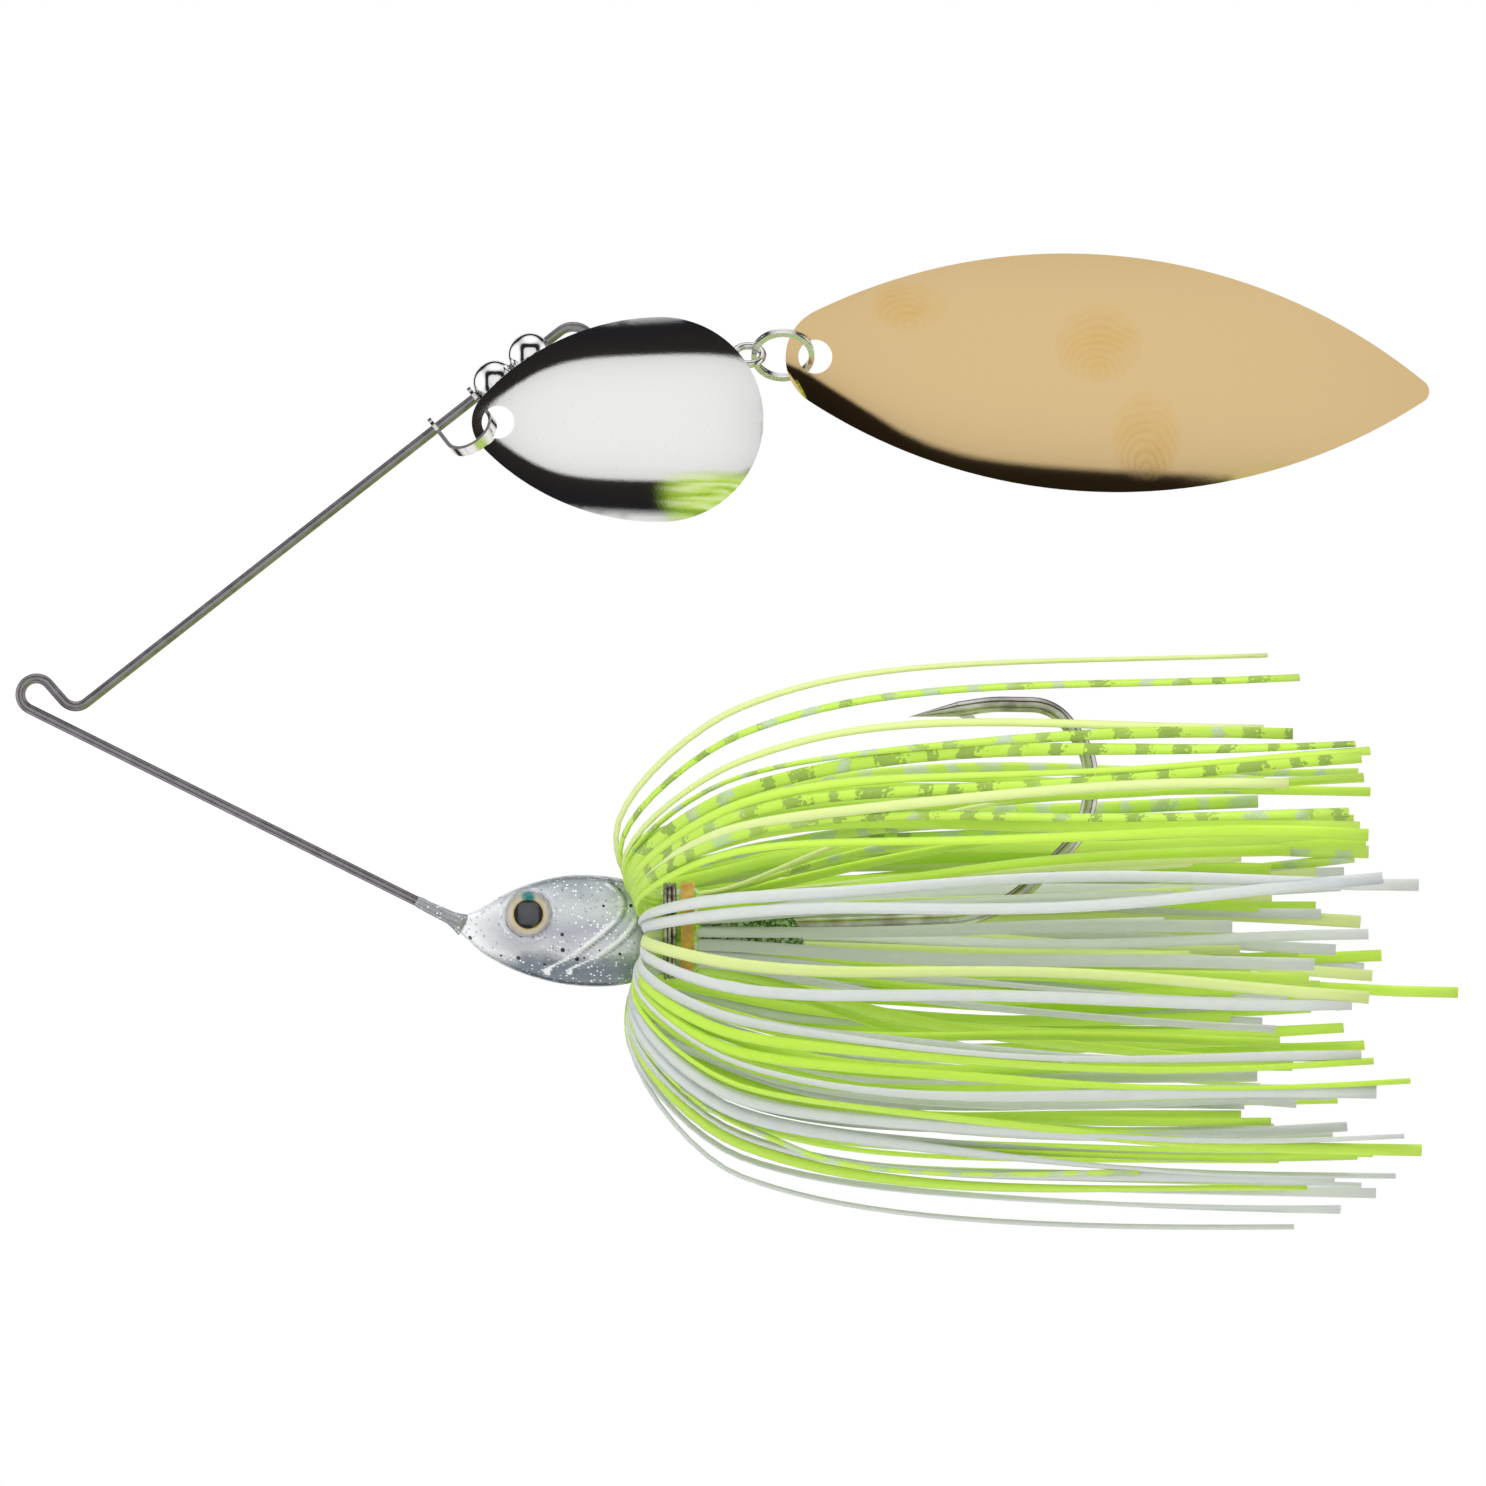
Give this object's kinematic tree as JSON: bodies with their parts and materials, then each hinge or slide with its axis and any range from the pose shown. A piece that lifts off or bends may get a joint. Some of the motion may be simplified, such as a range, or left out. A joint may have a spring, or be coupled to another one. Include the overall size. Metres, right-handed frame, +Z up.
{
  "type": "spinnerbait",
  "caption": "Bent wire arm with a tied silicone skirt and hook on a painted fish head, and a round and a leaf-shaped blade on a clevis and a swivel.",
  "frame": {"origin": "centre of the line tie bend, where the line is tied to the wire arm", "axes": "+X back towards the tips of the skirt, +Z up towards the blades; the wire arm, the head and the hook share the plane Y = 0"},
  "size_m": [0.1272, 0.0474, 0.0847],
  "materials": {
    "wire": "drawn stainless spring wire, satin bright",
    "hook_steel": "polished tin plated hook wire",
    "head_paint": "pearl white over lead, with fine black and silver glitter, clear coat",
    "eye_foil": "printed foil ring with a black pupil",
    "eye_resin": "clear glossy resin dome",
    "skirt_chartreuse": "translucent yellow-green silicone",
    "skirt_spotted": "yellow-green silicone with printed metallic bars",
    "skirt_white": "pearl white silicone",
    "skirt_bundle": "packed silicone strands",
    "tie_wire": "soft binding wire",
    "band": "amber rubber",
    "clevis_plate": "nickel plated strip",
    "bead_plate": "nickel plated, polished",
    "silver_plate": "bright silver plated, polished",
    "gold_plate": "bright gold plated, polished",
    "ring_steel": "bright stainless wire",
    "swivel_brass": "nickel plated brass",
    "ball_steel": "polished bearing steel"
  },
  "bodies": {
    "root": {"wire_arm": "wire", "hook": "hook_steel", "head": "head_paint", "eye_foil_left": "eye_foil", "eye_foil_right": "eye_foil", "eye_dome_left": "eye_resin", "eye_dome_right": "eye_resin", "skirt_root": "skirt_bundle", "skirt_tie_wire": "tie_wire", "skirt_rubber_band": "band", "skirt_strands_chartreuse": "skirt_chartreuse", "skirt_strands_spotted": "skirt_spotted", "skirt_strands_white": "skirt_white"},
    "bead_upper": {"bead_upper": "bead_plate"},
    "bead_lower": {"bead_lower": "bead_plate"},
    "clevis": {"clevis": "clevis_plate"},
    "front_blade": {"front_blade": "silver_plate"},
    "solid_ring": {"solid_ring": "ring_steel"},
    "swivel_front_eye": {"swivel_front_eye": "ring_steel"},
    "swivel_barrel": {"swivel_barrel": "swivel_brass", "swivel_bearing_balls": "ball_steel"},
    "swivel_rear_eye": {"swivel_rear_eye": "ring_steel"},
    "split_ring": {"split_ring": "ring_steel"},
    "rear_blade": {"rear_blade": "gold_plate"}
  },
  "joints": [
    {"name": "bead_upper_slide", "type": "slide", "parent": "root", "child": "bead_upper", "axis": [-0.7869, 0, -0.617], "range_m": [0, 0.015]},
    {"name": "bead_lower_slide", "type": "slide", "parent": "bead_upper", "child": "bead_lower", "axis": [-0.7869, 0, -0.617], "range_m": [0, 0.018]},
    {"name": "clevis_spin", "type": "hinge", "parent": "bead_lower", "child": "clevis", "pos_m": [0.03775, 0, 0.02535], "axis": [-0.7869, 0, -0.617], "range_deg": [-3, 250]},
    {"name": "front_blade_swing", "type": "hinge", "parent": "clevis", "child": "front_blade", "pos_m": [0.03914, -0.00299, 0.02357], "axis": [0.4928, 0.6018, -0.6285], "range_deg": [-2, 140]},
    {"name": "ring_swing", "type": "hinge", "parent": "root", "child": "solid_ring", "pos_m": [0.04829, 0, 0.03119], "axis": [0, 1, 0], "range_deg": [-75, 12]},
    {"name": "swivel_swing", "type": "hinge", "parent": "solid_ring", "child": "swivel_front_eye", "pos_m": [0.0508, 0, 0.03055], "axis": [0, 0, 1], "range_deg": [-2, 30]},
    {"name": "barrel_spin", "type": "hinge", "parent": "swivel_front_eye", "child": "swivel_barrel", "pos_m": [0.05475, 0, 0.03055], "axis": [1, 0, 0], "continuous": true},
    {"name": "rear_eye_spin", "type": "hinge", "parent": "swivel_barrel", "child": "swivel_rear_eye", "pos_m": [0.06405, 0, 0.03055], "axis": [1, 0, 0], "continuous": true},
    {"name": "split_ring_swing", "type": "hinge", "parent": "swivel_rear_eye", "child": "split_ring", "pos_m": [0.06405, 0, 0.03055], "axis": [0, -0.6561, 0.7547], "range_deg": [-35, 35]},
    {"name": "rear_blade_swing", "type": "hinge", "parent": "split_ring", "child": "rear_blade", "pos_m": [0.06717, 0, 0.03055], "axis": [0, 0.7547, 0.6561], "range_deg": [-40, 40]}
  ]
}
